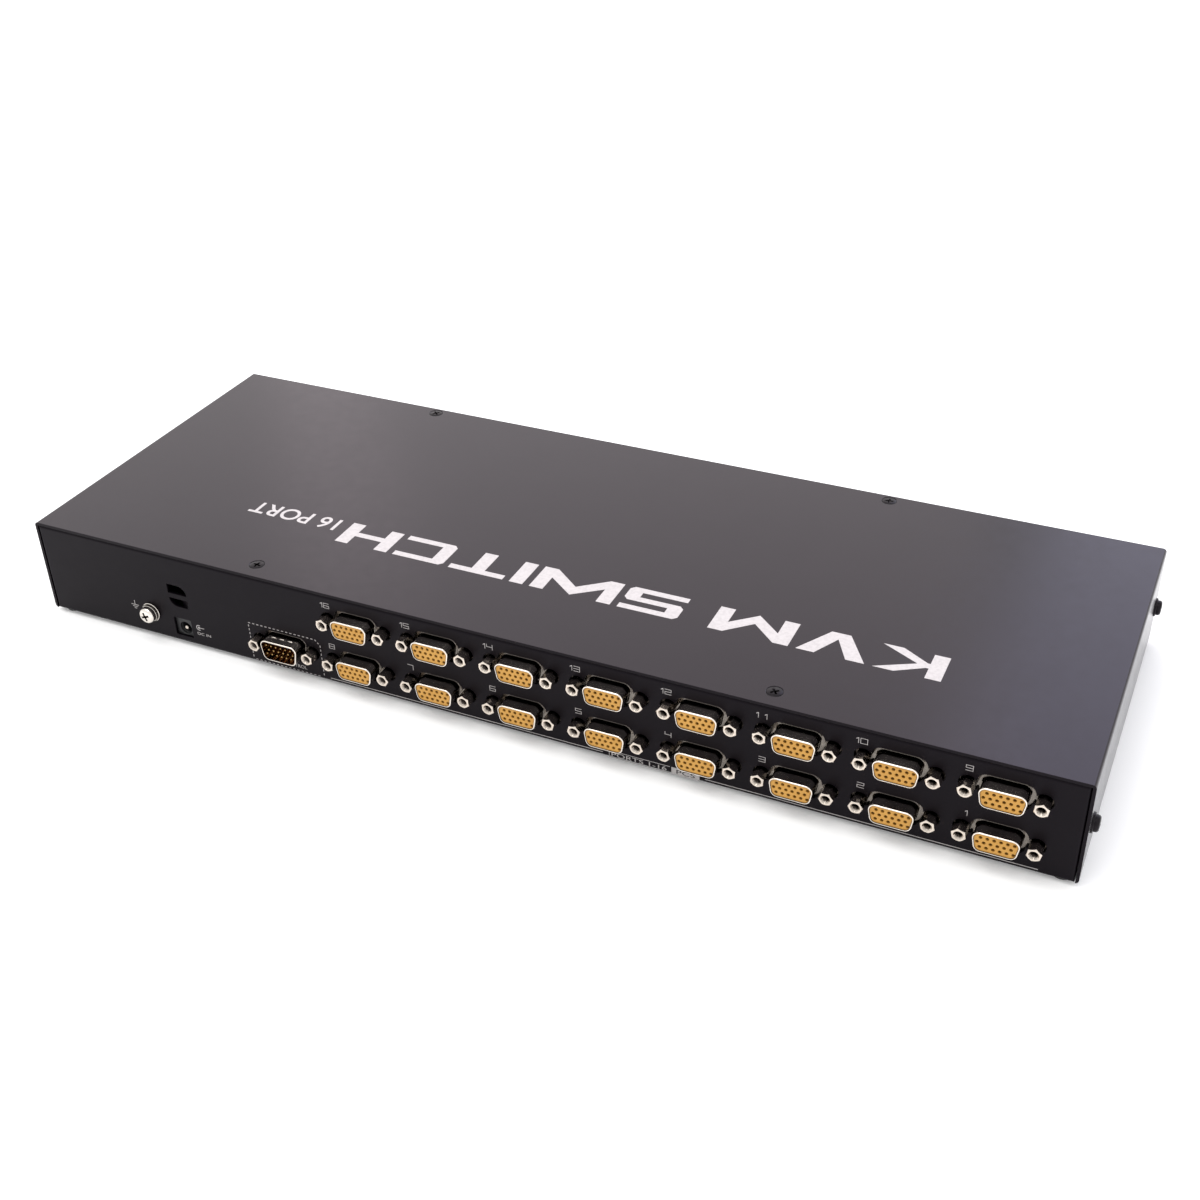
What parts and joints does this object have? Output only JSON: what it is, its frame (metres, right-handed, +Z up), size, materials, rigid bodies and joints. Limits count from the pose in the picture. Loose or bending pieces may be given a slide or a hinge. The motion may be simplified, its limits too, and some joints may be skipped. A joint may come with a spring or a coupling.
{
  "type": "kvm switch",
  "caption": "One-unit-high rack or desktop box that lets one keyboard, screen and mouse control many computers through stacked D connectors on its rear panel.",
  "frame": {"origin": "on the table, under the centre of the whole outline", "axes": "+X along the case's width, +Y out of the rear connector panel, +Z up"},
  "size_m": [0.4372, 0.1614, 0.044],
  "materials": {
    "cover_coat": "fine matt black powder coat with a slight grey sheen",
    "chassis_coat": "matt black powder coat",
    "nickel_shell": "bright nickel plate on drawn steel",
    "nickel_hardware": "bright nickel plate on turned steel",
    "zinc_hardware": "bright zinc plate",
    "gold_contact": "flash gold over nickel",
    "port_insulator": "satin ochre moulded polyester",
    "console_insulator": "satin dark brown moulded polyester",
    "black_plastic": "satin black moulded nylon",
    "button_plastic": "fine textured dark grey ABS",
    "black_screw": "black oxide",
    "foot_rubber": "matt black rubber",
    "board_green": "satin green solder mask",
    "chip_epoxy": "matt black epoxy",
    "capacitor_can": "sleeved aluminium can",
    "ribbon_grey": "satin grey PVC",
    "led_lens": "diffused epoxy"
  },
  "bodies": {
    "case": {"board_screws": "zinc_hardware", "board_standoffs": "zinc_hardware", "capacitors": "capacitor_can", "chassis": "chassis_coat", "connector_housings": "black_plastic", "console_insulator": "console_insulator", "console_pins": "gold_contact", "console_shell": "nickel_shell", "control_board": "board_green", "cover_screws": "black_screw", "dc_jack": "black_plastic", "dc_jack_pin": "nickel_hardware", "ground_flat_washer": "zinc_hardware", "ground_lock_washer": "zinc_hardware", "ground_screw": "zinc_hardware", "jackscrews": "nickel_hardware", "main_board": "board_green", "port_01_insulator": "port_insulator", "port_01_shell": "nickel_shell", "port_02_insulator": "port_insulator", "port_02_shell": "nickel_shell", "port_03_insulator": "port_insulator", "port_03_shell": "nickel_shell", "port_04_insulator": "port_insulator", "port_04_shell": "nickel_shell", "port_05_insulator": "port_insulator", "port_05_shell": "nickel_shell", "port_06_insulator": "port_insulator", "port_06_shell": "nickel_shell", "port_07_insulator": "port_insulator", "port_07_shell": "nickel_shell", "port_08_insulator": "port_insulator", "port_08_shell": "nickel_shell", "port_09_insulator": "port_insulator", "port_09_shell": "nickel_shell", "port_10_insulator": "port_insulator", "port_10_shell": "nickel_shell", "port_11_insulator": "port_insulator", "port_11_shell": "nickel_shell", "port_12_insulator": "port_insulator", "port_12_shell": "nickel_shell", "port_13_insulator": "port_insulator", "port_13_shell": "nickel_shell", "port_14_insulator": "port_insulator", "port_14_shell": "nickel_shell", "port_15_insulator": "port_insulator", "port_15_shell": "nickel_shell", "port_16_insulator": "port_insulator", "port_16_shell": "nickel_shell", "port_contacts": "gold_contact", "port_leds": "led_lens", "ribbon_cable": "ribbon_grey", "rubber_feet": "foot_rubber", "side_screws": "black_screw", "switch_chips": "chip_epoxy", "tact_switches": "black_plastic", "top_cover": "cover_coat"},
    "port_up": {"port_up_button": "button_plastic"},
    "port_down": {"port_down_button": "button_plastic"},
    "reset": {"reset_button": "button_plastic"}
  },
  "joints": [
    {"name": "port_up_press", "type": "slide", "parent": "case", "child": "port_up", "axis": [0, 1, 0], "range_m": [0, 0.0008], "stiffness_N_per_m": 1500},
    {"name": "port_down_press", "type": "slide", "parent": "case", "child": "port_down", "axis": [0, 1, 0], "range_m": [0, 0.0008], "stiffness_N_per_m": 1500},
    {"name": "reset_press", "type": "slide", "parent": "case", "child": "reset", "axis": [0, 1, 0], "range_m": [0, 0.0008], "stiffness_N_per_m": 1500}
  ]
}
